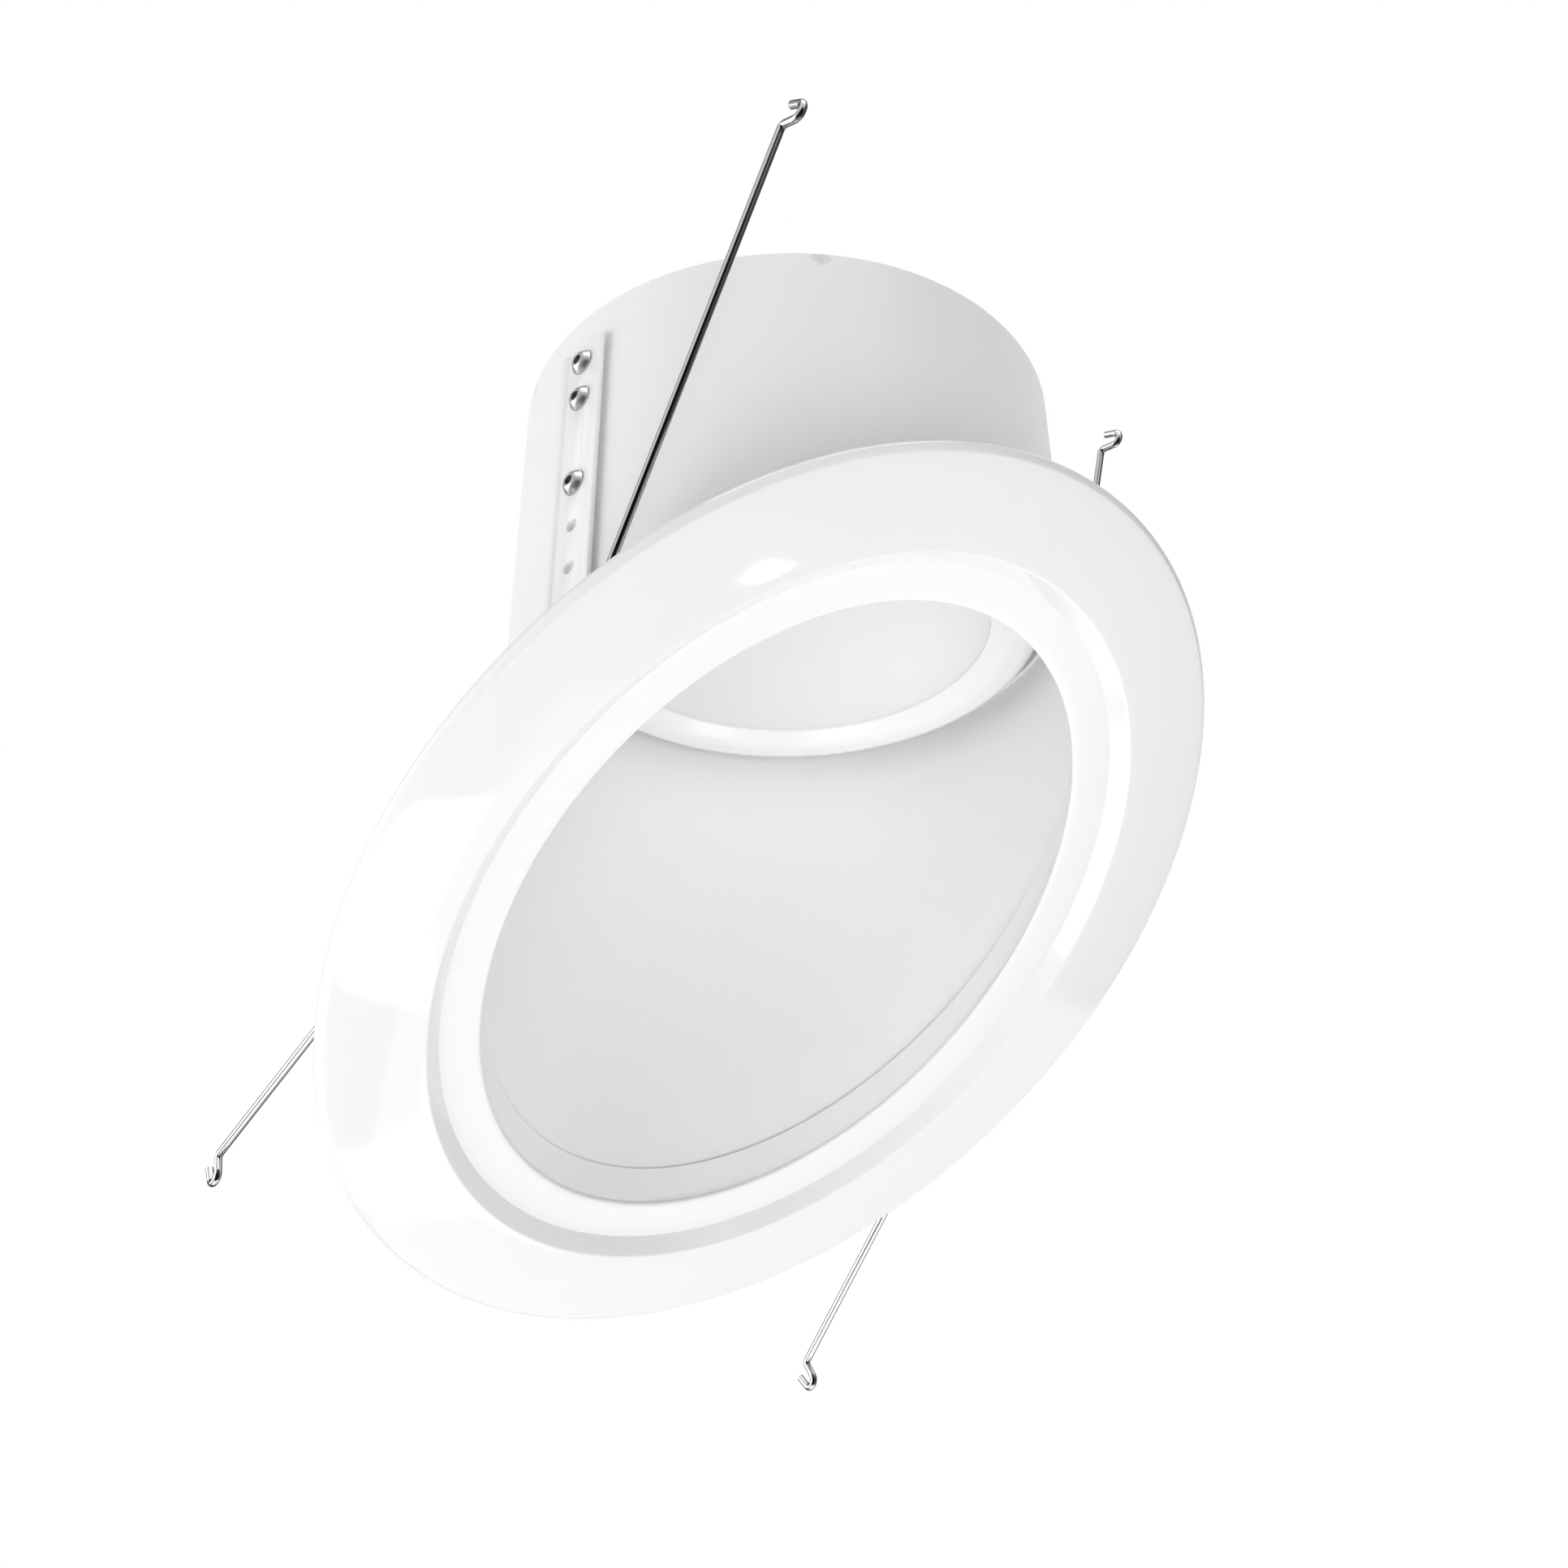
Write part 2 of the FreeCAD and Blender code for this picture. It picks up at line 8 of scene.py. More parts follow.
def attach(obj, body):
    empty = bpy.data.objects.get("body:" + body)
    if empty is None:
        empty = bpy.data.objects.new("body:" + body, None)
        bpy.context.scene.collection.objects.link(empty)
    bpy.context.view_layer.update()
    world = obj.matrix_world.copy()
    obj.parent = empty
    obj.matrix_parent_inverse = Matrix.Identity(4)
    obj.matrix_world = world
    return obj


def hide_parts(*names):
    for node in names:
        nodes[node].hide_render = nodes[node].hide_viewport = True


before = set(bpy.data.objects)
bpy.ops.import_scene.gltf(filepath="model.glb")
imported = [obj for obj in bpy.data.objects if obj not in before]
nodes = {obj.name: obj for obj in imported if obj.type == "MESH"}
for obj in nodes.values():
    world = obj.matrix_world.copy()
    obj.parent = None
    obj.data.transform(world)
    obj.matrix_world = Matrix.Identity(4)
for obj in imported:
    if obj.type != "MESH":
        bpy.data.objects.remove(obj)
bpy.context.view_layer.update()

print("frame loaded:", len(nodes), "nodes")


def addNode(tree, kind, **settings):
    node = tree.nodes.new(kind)
    for name, value in settings.items():
        setattr(node, name, value)
    return node


def newGroup(name, inputs, outputs):
    # inputs: (name, socket kind, default), outputs: (name, socket kind)
    tree = bpy.data.node_groups.new(name, "ShaderNodeTree")
    for label, kind, default in inputs:
        socket = tree.interface.new_socket(name=label, in_out="INPUT", socket_type=kind)
        if default is not None:
            socket.default_value = default
    for label, kind in outputs:
        tree.interface.new_socket(name=label, in_out="OUTPUT", socket_type=kind)
    return tree, tree.nodes.new("NodeGroupInput"), tree.nodes.new("NodeGroupOutput")


def noise(tree, vector, scale, detail=2.0, roughness=0.5):
    node = addNode(tree, "ShaderNodeTexNoise")
    node.inputs["Detail"].default_value = detail
    node.inputs["Roughness"].default_value = roughness
    tree.links.new(vector, node.inputs["Vector"])
    if hasattr(scale, "links"):
        tree.links.new(scale, node.inputs["Scale"])
    else:
        node.inputs["Scale"].default_value = scale
    return node.outputs["Fac"]


def remap(tree, value, low, high, toLow=0.0, toHigh=1.0):
    node = addNode(tree, "ShaderNodeMapRange")
    node.inputs["From Min"].default_value = low
    node.inputs["From Max"].default_value = high
    node.inputs["To Min"].default_value = toLow
    node.inputs["To Max"].default_value = toHigh
    tree.links.new(value, node.inputs["Value"])
    return node.outputs["Result"]


def maths(tree, operation, first, second=None):
    node = addNode(tree, "ShaderNodeMath", operation=operation)
    for index, value in enumerate((first, second)):
        if value is None:
            continue
        if hasattr(value, "links"):
            tree.links.new(value, node.inputs[index])
        else:
            node.inputs[index].default_value = value
    return node.outputs[0]


def mixTone(tree, factor, color, tone):
    mix = addNode(tree, "ShaderNodeMix", data_type="RGBA")
    tree.links.new(factor, mix.inputs["Factor"])
    tree.links.new(color, mix.inputs[6])
    mix.inputs[7].default_value = (*tone, 1.0)
    return mix.outputs[2]


def placeGroup(tree, group, vector, **values):
    node = addNode(tree, "ShaderNodeGroup", node_tree=group)
    tree.links.new(vector, node.inputs["Vector"])
    for name, value in values.items():
        node.inputs[name].default_value = value
    return node


# noises: scale where fixed, detail, roughness
skinLook = {"peelDetail": 1.0, "grain": (4200.0, 3.0, 0.6)}


def buildPaintSkin():
    # Orange peel of sprayed or moulded white, with specks under it
    tree, source, sink = newGroup(
        "paintSkin",
        [("Vector", "NodeSocketVector", None), ("Peel Scale", "NodeSocketFloat", 500.0),
         ("Peel", "NodeSocketFloat", 1.0), ("Grain", "NodeSocketFloat", 0.3)],
        [("Height", "NodeSocketFloat")])
    vector = source.outputs["Vector"]
    peel = noise(tree, vector, source.outputs["Peel Scale"], skinLook["peelDetail"])
    grain = noise(tree, vector, *skinLook["grain"])
    peelPart = maths(tree, "MULTIPLY", peel, source.outputs["Peel"])
    grainPart = maths(tree, "MULTIPLY", grain, source.outputs["Grain"])
    tree.links.new(maths(tree, "ADD", peelPart, grainPart), sink.inputs["Height"])
    return tree


marksLook = {
    "clouds": (22.0, 4.0, 0.55), "cloudSpan": (0.42, 0.72), "streaks": (1.0, 3.0, 0.6), "streakSpan": (0.58, 0.78),
    "streakTurn": (0.4, 0.7, 0.3), "streakScale": (160.0, 22.0, 30.0), "streakShare": 0.6,
}


def buildHandling():
    # Patchy change of sheen and tone from handling: broad clouds and faint wiped streaks
    tree, source, sink = newGroup(
        "handlingMarks",
        [("Vector", "NodeSocketVector", None), ("Tone", "NodeSocketColor", (0.8, 0.8, 0.8, 1.0)),
         ("Shade", "NodeSocketColor", (0.75, 0.75, 0.75, 1.0)), ("Amount", "NodeSocketFloat", 0.5),
         ("Sheen Low", "NodeSocketFloat", 0.3), ("Sheen High", "NodeSocketFloat", 0.4)],
        [("Color", "NodeSocketColor"), ("Roughness", "NodeSocketFloat")])
    vector = source.outputs["Vector"]
    clouds = noise(tree, vector, *marksLook["clouds"])
    stretch = addNode(tree, "ShaderNodeMapping")
    stretch.inputs["Rotation"].default_value = marksLook["streakTurn"]
    stretch.inputs["Scale"].default_value = marksLook["streakScale"]
    tree.links.new(vector, stretch.inputs["Vector"])
    streaks = noise(tree, stretch.outputs["Vector"], *marksLook["streaks"])
    cloudMask = remap(tree, clouds, *marksLook["cloudSpan"])
    streakMask = remap(tree, streaks, *marksLook["streakSpan"])
    faintStreaks = maths(tree, "MULTIPLY", streakMask, marksLook["streakShare"])
    mask = maths(tree, "MAXIMUM", cloudMask, faintStreaks)
    amount = maths(tree, "MULTIPLY", mask, source.outputs["Amount"])
    mix = addNode(tree, "ShaderNodeMix", data_type="RGBA")
    tree.links.new(amount, mix.inputs["Factor"])
    tree.links.new(source.outputs["Tone"], mix.inputs[6])
    tree.links.new(source.outputs["Shade"], mix.inputs[7])
    tree.links.new(mix.outputs[2], sink.inputs["Color"])
    span = maths(tree, "SUBTRACT", source.outputs["Sheen High"], source.outputs["Sheen Low"])
    sheen = maths(tree, "ADD", source.outputs["Sheen Low"], maths(tree, "MULTIPLY", span, mask))
    tree.links.new(sheen, sink.inputs["Roughness"])
    return tree


paintSkin = buildPaintSkin()
handlingMarks = buildHandling()


def newMaterial(name, roughness, metallic=0.0):
    material = bpy.data.materials.new(name)
    material.use_nodes = True
    tree = material.node_tree
    shader = tree.nodes["Principled BSDF"]
    shader.inputs["Metallic"].default_value = metallic
    shader.inputs["Roughness"].default_value = roughness
    place = addNode(tree, "ShaderNodeTexCoord").outputs["Object"]
    return material, tree, shader, place


def addMarks(tree, place, look, amount):
    return placeGroup(tree, handlingMarks, place, **{
        "Tone": (*look["tone"], 1.0), "Shade": (*look["shade"], 1.0), "Amount": amount,
        "Sheen Low": look["low"], "Sheen High": look["high"]})


def addBump(tree, shader, height, distance, strength=1.0):
    bump = addNode(tree, "ShaderNodeBump")
    bump.inputs["Strength"].default_value = strength
    bump.inputs["Distance"].default_value = distance
    tree.links.new(height, bump.inputs["Height"])
    tree.links.new(bump.outputs["Normal"], shader.inputs["Normal"])


whites = {
    # low and high: roughness; the inside entry: a lighter tone painted on the can's bore as painted light, and the
    # bore's radius; spots: place, size, strength
    "canPaint": dict(tone=(0.850, 0.852, 0.856), shade=(0.85, 0.855, 0.86), low=0.34, high=0.42, marks=0.45,
                     scale=420.0, peel=1.0, grain=0.6, depth=0.00005, coat=0.0,
                     inside=((0.892, 0.895, 0.897), 0.0676),
                     spots=(((-0.0400, -0.0549, 0.1358), 0.0028, 0.4),
                            ((-0.0637, 0.0238, 0.1341), 0.0025, 0.25))),
    "strapPaint": dict(tone=(0.88, 0.883, 0.885), shade=(0.84, 0.845, 0.85), low=0.30, high=0.40, marks=0.4,
                       scale=520.0, peel=1.0, grain=0.4, depth=0.00003, coat=0.0),
    "collarPaint": dict(tone=(0.858, 0.860, 0.863), shade=(0.85, 0.855, 0.86), low=0.30, high=0.36, marks=0.3,
                        scale=460.0, peel=1.0, grain=0.3, depth=0.00002, coat=0.0),
    "trimGloss": dict(tone=(0.83, 0.835, 0.84), shade=(0.81, 0.815, 0.825), low=0.05, high=0.08, marks=0.3,
                      scale=260.0, peel=1.0, grain=0.03, depth=0.000008, coat=0.6),
    "bezelGloss": dict(tone=(0.90, 0.903, 0.905), shade=(0.88, 0.883, 0.885), low=0.09, high=0.14, marks=0.2,
                       scale=300.0, peel=1.0, grain=0.05, depth=0.000008, coat=0.4),
}
whiteLook = {"coatRoughness": 0.03, "boreBlend": 0.0001, "spotTone": (0.42, 0.42, 0.42), "spotNoise": 900.0,
             "spotSpan": (0.3, 0.7), "spotEdge": 3.0}


def buildWhite(name, look):
    material, tree, shader, place = newMaterial(name, look["low"])
    marks = addMarks(tree, place, look, look["marks"])
    color = marks.outputs["Color"]
    # The can's bore is painted lighter than its outside, though it is the same paint: painted light standing in for
    # light bouncing inside the can
    if "inside" in look:
        tone, radius = look["inside"]
        flat = addNode(tree, "ShaderNodeVectorMath", operation="MULTIPLY")
        flat.inputs[1].default_value = (1.0, 1.0, 0.0)
        tree.links.new(place, flat.inputs[0])
        reach = addNode(tree, "ShaderNodeVectorMath", operation="LENGTH")
        tree.links.new(flat.outputs["Vector"], reach.inputs[0])
        blend = whiteLook["boreBlend"]
        paintedBoreLight = remap(tree, reach.outputs["Value"], radius + blend, radius - blend)
        color = mixTone(tree, paintedBoreLight, color, tone)
    for spot, size, strength in look.get("spots", ()):
        away = addNode(tree, "ShaderNodeVectorMath", operation="DISTANCE")
        away.inputs[1].default_value = spot
        tree.links.new(place, away.inputs[0])
        edge = size / whiteLook["spotEdge"]
        fray = remap(tree, noise(tree, place, whiteLook["spotNoise"]), *whiteLook["spotSpan"], -edge, edge)
        ragged = maths(tree, "ADD", away.outputs["Value"], fray)
        spotMask = remap(tree, ragged, size, edge, 0.0, strength)
        color = mixTone(tree, spotMask, color, whiteLook["spotTone"])
    tree.links.new(color, shader.inputs["Base Color"])
    tree.links.new(marks.outputs["Roughness"], shader.inputs["Roughness"])
    skin = placeGroup(tree, paintSkin, place, **{
        "Peel Scale": look["scale"], "Peel": look["peel"], "Grain": look["grain"]})
    addBump(tree, shader, skin.outputs["Height"], look["depth"])
    shader.inputs["Coat Weight"].default_value = look["coat"]
    shader.inputs["Coat Roughness"].default_value = whiteLook["coatRoughness"]
    return material


materials = {name: buildWhite(name, look) for name, look in whites.items()}

lensLook = {
    "tone": (0.87, 0.873, 0.876), "shade": (0.84, 0.845, 0.85), "low": 0.42, "high": 0.5, "marks": 0.3,
    "frost": {"Peel Scale": 900.0, "Peel": 0.6, "Grain": 0.8}, "depth": 0.00004,
    "milk": 0.35, "milkDepth": 0.004,
}


def buildLensFrost():
    material, tree, shader, place = newMaterial("lensFrost", lensLook["low"])
    marks = addMarks(tree, place, lensLook, lensLook["marks"])
    tree.links.new(marks.outputs["Color"], shader.inputs["Base Color"])
    tree.links.new(marks.outputs["Roughness"], shader.inputs["Roughness"])
    skin = placeGroup(tree, paintSkin, place, **lensLook["frost"])
    addBump(tree, shader, skin.outputs["Height"], lensLook["depth"])
    shader.inputs["Subsurface Weight"].default_value = lensLook["milk"]
    shader.inputs["Subsurface Radius"].default_value = (lensLook["milkDepth"],) * 3
    shader.inputs["Subsurface Scale"].default_value = 1.0
    return material


materials["lensFrost"] = buildLensFrost()

# rim sets the painted shade along each metal's outline; the core values set a painted dark reflection down the
# spring wire's middle
metals = {
    "springChrome": dict(tone=(0.66, 0.67, 0.69), shade=(0.46, 0.47, 0.50), low=0.10, high=0.2, marks=0.3,
                         drawn=(900.0, 900.0, 900.0), depth=0.00001, rim=0.85,
                         paintedCoreShade=0.96, paintedCoreSpan=(0.09, 0.17)),
    "screwZinc": dict(tone=(0.50, 0.51, 0.52), shade=(0.36, 0.37, 0.38), low=0.30, high=0.42, marks=0.5,
                      drawn=(700.0, 2600.0, 2600.0), depth=0.00002, rim=0.4),
    "postZinc": dict(tone=(0.56, 0.57, 0.58), shade=(0.4, 0.4, 0.41), low=0.24, high=0.36, marks=0.5,
                     drawn=(700.0, 2600.0, 2600.0), depth=0.00002, rim=0.4),
    "sinkAluminium": dict(tone=(0.60, 0.61, 0.62), shade=(0.5, 0.51, 0.52), low=0.38, high=0.5, marks=0.4,
                          drawn=(1200.0, 1200.0, 300.0), depth=0.00004, rim=0.2),
}
# corner: pointiness span; outline: facing span of the painted shade along each outline; black: colour of that
# painted shade; drawnNoise: detail and roughness
metalPaintedShadeAndGrain = {"corner": (0.485, 0.44), "cornerDarkening": 0.5, "outline": (0.4, 0.8), "black": (0.02, 0.02, 0.022),
             "drawnNoise": (3.0, 0.6)}


def buildMetal(name, look):
    material, tree, shader, place = newMaterial(name, look["low"], 1.0)
    marks = addMarks(tree, place, look, look["marks"])
    # Darker in inner corners; painted shade darkens the metal along its outline, and a painted dark reflection runs
    # down the spring wire's middle
    pointiness = addNode(tree, "ShaderNodeNewGeometry").outputs["Pointiness"]
    # Darker in inner corners, by pointiness
    corner = remap(tree, pointiness, *metalPaintedShadeAndGrain["corner"])
    cornerDarkening = [part * metalPaintedShadeAndGrain["cornerDarkening"] for part in look["shade"]]
    facing = addNode(tree, "ShaderNodeLayerWeight").outputs["Facing"]
    paintedShade = remap(tree, facing, *metalPaintedShadeAndGrain["outline"], 0.0, look["rim"])
    if "paintedCoreShade" in look:
        start, end = look["paintedCoreSpan"]
        paintedShade = maths(tree, "MAXIMUM", paintedShade, remap(tree, facing, end, start, 0.0, look["paintedCoreShade"]))
    cornerDarkened = mixTone(tree, corner, marks.outputs["Color"], cornerDarkening)
    color = mixTone(tree, paintedShade, cornerDarkened, metalPaintedShadeAndGrain["black"])
    tree.links.new(color, shader.inputs["Base Color"])
    # The painted-shade rim amount also dims the tint of the metal's edge reflections
    shader.inputs["Specular Tint"].default_value = (*[1.0 - look["rim"]] * 3, 1.0)
    tree.links.new(marks.outputs["Roughness"], shader.inputs["Roughness"])
    stretch = addNode(tree, "ShaderNodeMapping")
    stretch.inputs["Scale"].default_value = look["drawn"]
    tree.links.new(place, stretch.inputs["Vector"])
    drawn = noise(tree, stretch.outputs["Vector"], 1.0, *metalPaintedShadeAndGrain["drawnNoise"])
    addBump(tree, shader, drawn, look["depth"])
    return material


materials.update({name: buildMetal(name, look) for name, look in metals.items()})

solids = {
    "gasketFoam": dict(tone=(0.030, 0.030, 0.032), shade=(0.055, 0.055, 0.058), low=0.85, high=0.95,
                      scale=1500.0, depth=0.0003),
    "inletRubber": dict(tone=(0.020, 0.020, 0.021), shade=(0.035, 0.035, 0.036), low=0.55, high=0.7,
                       scale=900.0, depth=0.00005),
    "driverPlastic": dict(tone=(0.60, 0.60, 0.585), shade=(0.52, 0.52, 0.505), low=0.45, high=0.55,
                         scale=1300.0, depth=0.00006),
    "boardMask": dict(tone=(0.76, 0.76, 0.74), shade=(0.68, 0.68, 0.66), low=0.3, high=0.4,
                     scale=800.0, depth=0.00002),
    "chipPhosphor": dict(tone=(0.78, 0.55, 0.08), shade=(0.7, 0.47, 0.05), low=0.35, high=0.45,
                        scale=2500.0, depth=0.00002),
}
solidLook = {"marks": 0.7, "peel": 1.0, "grain": 0.3}


def buildSolid(name, look):
    material, tree, shader, place = newMaterial(name, look["low"])
    marks = addMarks(tree, place, look, solidLook["marks"])
    tree.links.new(marks.outputs["Color"], shader.inputs["Base Color"])
    tree.links.new(marks.outputs["Roughness"], shader.inputs["Roughness"])
    skin = placeGroup(tree, paintSkin, place, **{
        "Peel Scale": look["scale"], "Peel": solidLook["peel"], "Grain": solidLook["grain"]})
    addBump(tree, shader, skin.outputs["Height"], look["depth"])
    return material


materials.update({name: buildSolid(name, look) for name, look in solids.items()})

finishes = {
    "oval_trim": "trimGloss", "collar_ring": "collarPaint", "foam_gasket": "gasketFoam",
    "can_shell": "canPaint", "top_cap": "canPaint", "cord_inlet": "inletRubber",
    "mounting_pan": "canPaint", "module_bezel": "bezelGloss", "module_lens": "lensFrost",
    "led_board": "boardMask", "led_chips": "chipPhosphor", "heat_sink": "sinkAluminium",
    "driver_case": "driverPlastic",
}
for name, node in nodes.items():
    finish = finishes.get(name)
    if finish is None:
        if name.startswith("trim_screw") or "strap_screw" in name:
            finish = "screwZinc"
        elif name.endswith("_post"):
            finish = "postZinc"
        elif name.endswith("_strap"):
            finish = "strapPaint"
        else:
            finish = "springChrome"
    node.data.materials.clear()
    node.data.materials.append(materials[finish])
print("materials done:", len(materials))


# The trim and the collar ring follow the opening's oval in the sloping ceiling plane
ovalShape = {"halfWidth": 0.066, "halfLength": 0.08139, "slope": 37.0, "spinRadius": 0.1, "steps": 256,
             "canRadius": 0.0671}
same = 1e-6


def ovalPoint(turn, offset, height):
    across, along = math.cos(turn), math.sin(turn)
    edge = Vector((ovalShape["halfWidth"] * across, ovalShape["halfLength"] * along, height))
    outward = Vector((ovalShape["halfLength"] * across, ovalShape["halfWidth"] * along, 0.0)).normalized()
    return edge + outward * offset


def canPoint(turn, inset, height):
    # The round can as the sloping plane cuts it
    slope = math.radians(ovalShape["slope"])
    radius = ovalShape["canRadius"] - inset
    along = radius / math.cos(slope) * math.sin(turn) - height * math.tan(slope)
    return Vector((radius * math.cos(turn), along, height))


def ovalRing(section, rounds, rows=()):
    # section: corners as (offset, height); rounds: (corner, setback, segments); rows: (corner, cuts)
    bm = bmesh.new()
    corners = [bm.verts.new((ovalShape["spinRadius"] + offset, 0.0, height)) for offset, height in section]
    runs = [bm.edges.new((first, second)) for first, second in zip(corners, corners[1:] + corners[:1])]
    for index, cuts in rows:
        bmesh.ops.subdivide_edges(bm, edges=[runs[index]], cuts=cuts)
    bmesh.ops.spin(bm, geom=bm.verts[:] + bm.edges[:], cent=(0, 0, 0), axis=(0, 0, 1),
                   angle=2 * math.pi, steps=ovalShape["steps"], use_merge=True)
    for index, setback, segments in rounds:
        radius, height = ovalShape["spinRadius"] + section[index][0], section[index][1]
        loop = [edge for edge in bm.edges if all(
            abs(math.hypot(vert.co.x, vert.co.y) - radius) < same and abs(vert.co.z - height) < same
            for vert in edge.verts)]
        bmesh.ops.bevel(bm, geom=loop, offset=setback, offset_type="OFFSET", segments=segments, profile=0.5,
                        affect="EDGES", material=-1)
    return bm


def layOval(bm, place):
    # Moves a spun ring onto the oval and tips it to the ceiling's slope
    for vert in bm.verts:
        turn = math.atan2(vert.co.y, vert.co.x)
        offset = math.hypot(vert.co.x, vert.co.y) - ovalShape["spinRadius"]
        vert.co = place(turn, offset, vert.co.z)
    tip = Matrix.Rotation(-math.radians(ovalShape["slope"]), 3, "X")
    bmesh.ops.rotate(bm, verts=bm.verts, cent=(0, 0, 0), matrix=tip)


def faceOutwards(bm):
    bmesh.ops.recalc_face_normals(bm, faces=bm.faces)
    if bm.calc_volume(signed=True) < 0:
        bmesh.ops.reverse_faces(bm, faces=bm.faces)


def finishPiece(bm, name, material, body, replaced, sharp=38.0):
    faceOutwards(bm)
    for face in bm.faces:
        face.smooth = True
    for edge in bm.edges:
        edge.smooth = edge.calc_face_angle(0.0) < math.radians(sharp)
    mesh = bpy.data.meshes.new(name)
    bm.to_mesh(mesh)
    bm.free()
    piece = bpy.data.objects.new(name, mesh)
    bpy.context.scene.collection.objects.link(piece)
    mesh.materials.append(materials[material])
    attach(piece, body)
    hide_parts(*replaced)
    return piece


trimLook = {
    # metres out from the opening and down from the ceiling plane; the face lies below faceShare of rimDrop
    "ringWidth": 0.0094, "stepEnd": 0.0127, "rim": 0.0347, "innerDrop": 0.0032, "rimDrop": 0.0025,
    "crown": 0.00025, "rimChamfer": 0.0013, "rimRound": 0.0003, "stepRound": 0.00035, "lipRound": 0.0002,
    "faceShare": 0.99,
}


def buildTrim():
    look = trimLook
    section = [
        (look["ringWidth"], 0.0), (look["stepEnd"], -look["innerDrop"]),
        (look["rim"] - look["rimChamfer"], -look["rimDrop"]), (look["rim"], look["rimChamfer"] - look["rimDrop"]),
        (look["rim"], 0.0),
    ]
    bm = ovalRing(section, [(1, look["stepRound"], 4), (2, look["rimRound"], 3), (3, look["rimRound"], 3),
                            (4, look["lipRound"], 2)], rows=[(1, 7)])
    span = look["rim"] - look["rimChamfer"] - look["stepEnd"]

    def place(turn, offset, height):
        share = (offset - look["stepEnd"]) / span
        if height < -look["rimDrop"] * look["faceShare"] and 0.0 < share < 1.0:
            height -= look["crown"] * 4 * share * (1 - share)
        return ovalPoint(turn, offset, height)

    layOval(bm, place)
    finishPiece(bm, "trimCasting", "trimGloss", "light", ["oval_trim"])


collarLook = {
    "faceWidth": 0.0094, "faceRise": 0.00095, "edgeRound": 0.0009, "undercut": 0.0006, "undercutRise": 0.0023,
    "plateBack": 0.0024, "plateEdge": 0.0197, "top": 0.0082, "topWall": 0.0006, "sleeveGap": 0.0,
    "setback": 0.0018, "sleeveWall": 0.0004, "rollRoom": 0.0001,
}


def buildCollar():
    look = collarLook
    # Clockwise from the ring face's outer edge: face, rolled inner edge, collar, sleeve, plate
    section = [
        (look["faceWidth"], 0.0), (0.0, look["faceRise"]), (look["undercut"], look["undercutRise"]),
        (look["undercut"], look["top"]), (look["undercut"] + look["topWall"], look["top"]),
        (look["undercut"] + look["topWall"], look["plateBack"]), (look["plateEdge"], look["plateBack"]),
        (look["plateEdge"], 0.0),
    ]
    bm = ovalRing(section, [(1, look["edgeRound"], 6)], rows=[(2, 6), (4, 4)])
    low = look["undercutRise"]

    def place(turn, offset, height):
        if height < low - same and offset < look["undercut"] + look["rollRoom"]:
            return ovalPoint(turn, offset, height)
        if offset < look["undercut"] + same:
            # The wall starts well behind the ring's edge, as far as the can leaves room
            share = (height - low) / (look["top"] - low)
            start = min(ovalPoint(turn, look["setback"], low), canPoint(turn, look["sleeveWall"], low),
                        key=lambda point: point.xy.length)
            return start.lerp(canPoint(turn, look["topWall"], look["top"]), share)
        if offset < look["undercut"] + look["topWall"] + same:
            return canPoint(turn, look["sleeveGap"], height)
        return ovalPoint(turn, offset, height)

    layOval(bm, place)
    finishPiece(bm, "collarPressing", "collarPaint", "light", ["collar_ring"])


buildTrim()
buildCollar()
print("trim and collar done")

strapLook = {
    # metres, for the strap on the right before it is turned round the can, which the left one mirrors
    "back": 0.06805, "thick": 0.001, "aside": -0.0044, "near": 0.0072, "far": 0.0075, "halfWeb": 0.0048,
    "ramp": 0.0010, "rise": 0.00045, "gap": 0.00045, "relief": 0.0014, "top": 0.1264, "foot": -0.08,
    "plateBack": 0.0024, "bend": 0.0004, "edge": 0.00022, "edgeAngle": 60.0, "frontMargin": 0.0001,
    "holes": (0.1213, 0.1104, 0.0860, 0.0746, 0.0634, 0.0522, 0.0410, 0.0200),
    "holeRadius": 0.0017, "drillLength": 0.008, "weld": 1e-6,
}
strapTurn = Matrix.Rotation(math.atan2(strapLook["aside"], strapLook["back"]), 3, "Z")


def hollowOut(piece, cutter):
    # Cuts one closed mesh out of another and keeps the result as the piece's mesh
    cut = piece.modifiers.new("cut", "BOOLEAN")
    cut.operation = "DIFFERENCE"
    cut.solver = "EXACT"
    cut.object = cutter
    bpy.context.view_layer.update()
    evaluated = piece.evaluated_get(bpy.context.evaluated_depsgraph_get())
    mesh = bpy.data.meshes.new_from_object(evaluated)
    piece.modifiers.clear()
    return mesh


